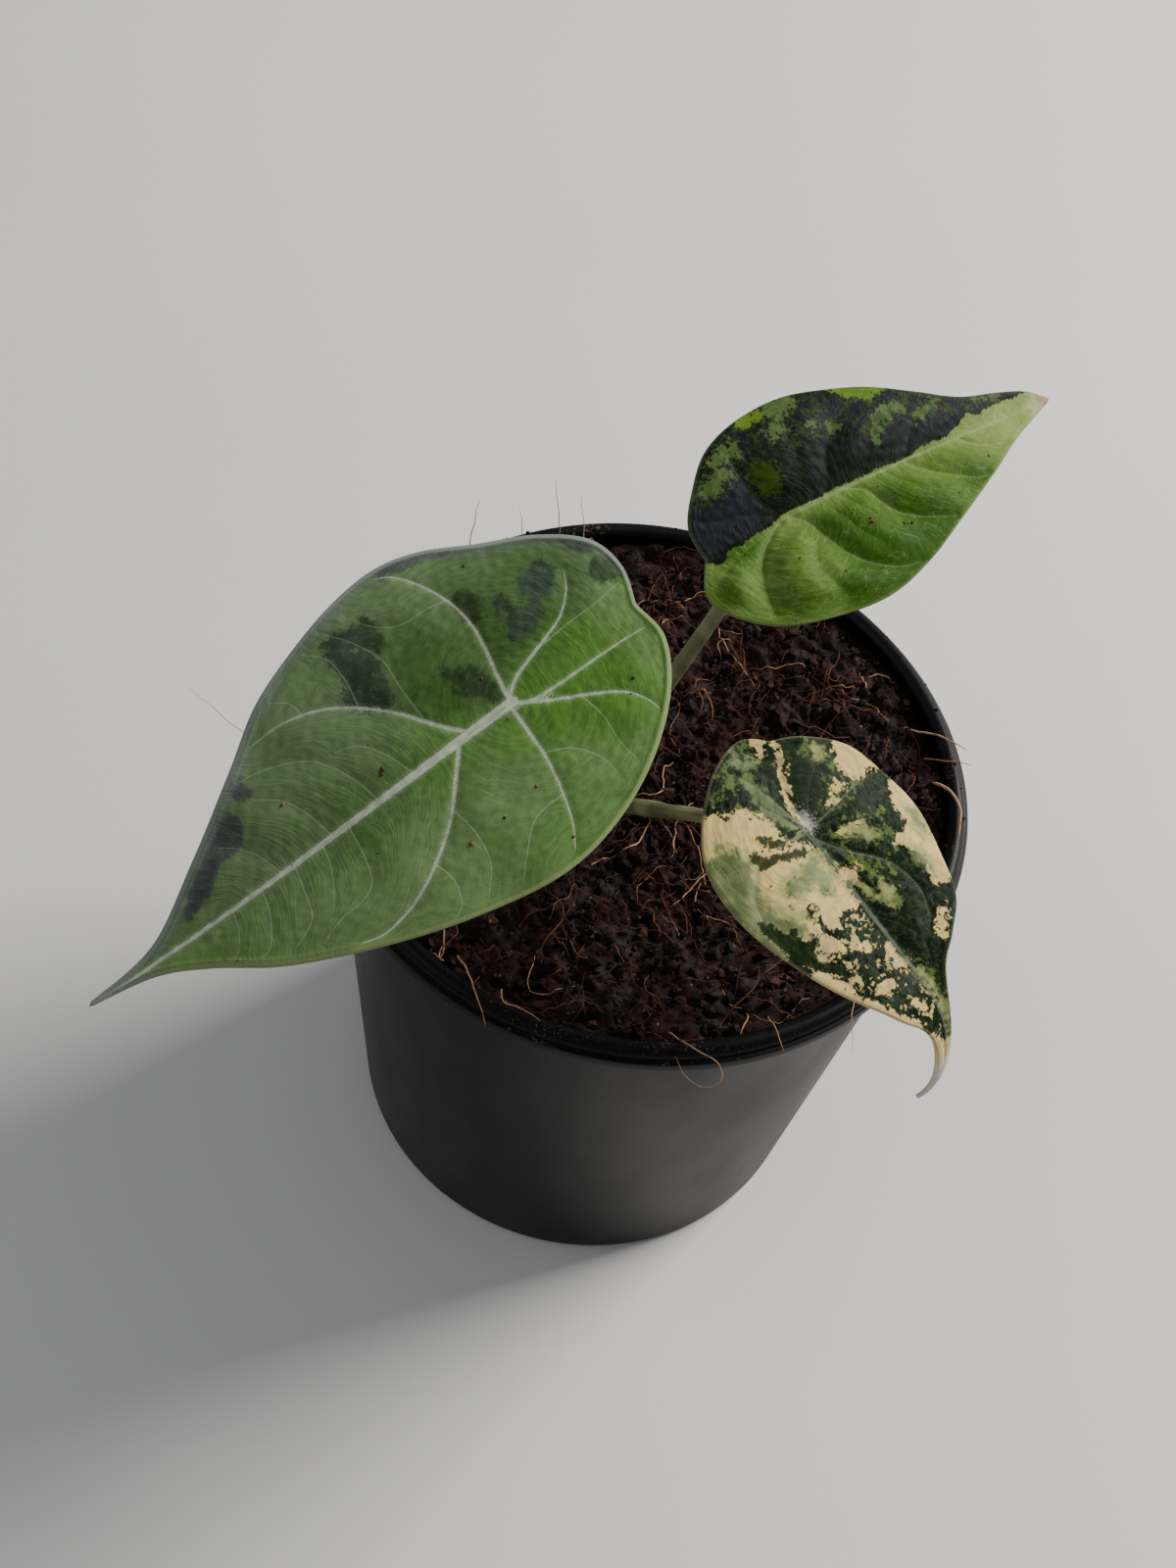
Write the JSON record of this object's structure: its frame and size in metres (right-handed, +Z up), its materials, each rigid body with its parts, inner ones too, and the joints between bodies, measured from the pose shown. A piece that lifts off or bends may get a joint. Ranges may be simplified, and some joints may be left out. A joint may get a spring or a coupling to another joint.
{
  "type": "potted maharani alocasia",
  "caption": "Young potted alocasia: heart-shaped leathery blades with sunken veins and variegated colour, on thin stalks from a short stem in coco soil, in a round black nursery pot.",
  "frame": {"origin": "middle of the pot's underside, on the plane the pot stands on", "axes": "+Z up along the pot's axis; -Y towards the side the picture looks from; +X to the viewer's right"},
  "size_m": [0.1333, 0.1587, 0.1902],
  "materials": {
    "pot_plastic": "satin black moulded plastic",
    "coco_soil": "rough dark brown coco crumbs and fibre",
    "stalk": "dull khaki green plant tissue",
    "leaf_large": "leathery green with a grey bloom, pale veins and dark patches",
    "leaf_upper": "leathery, half blackish green and half light green",
    "leaf_variegated": "leathery, cream and dark green"
  },
  "bodies": {
    "root": {"pot": "pot_plastic", "soil": "coco_soil", "stems": "stalk", "blade_large": "leaf_large", "blade_upper": "leaf_upper", "blade_variegated": "leaf_variegated"}
  },
  "joints": []
}
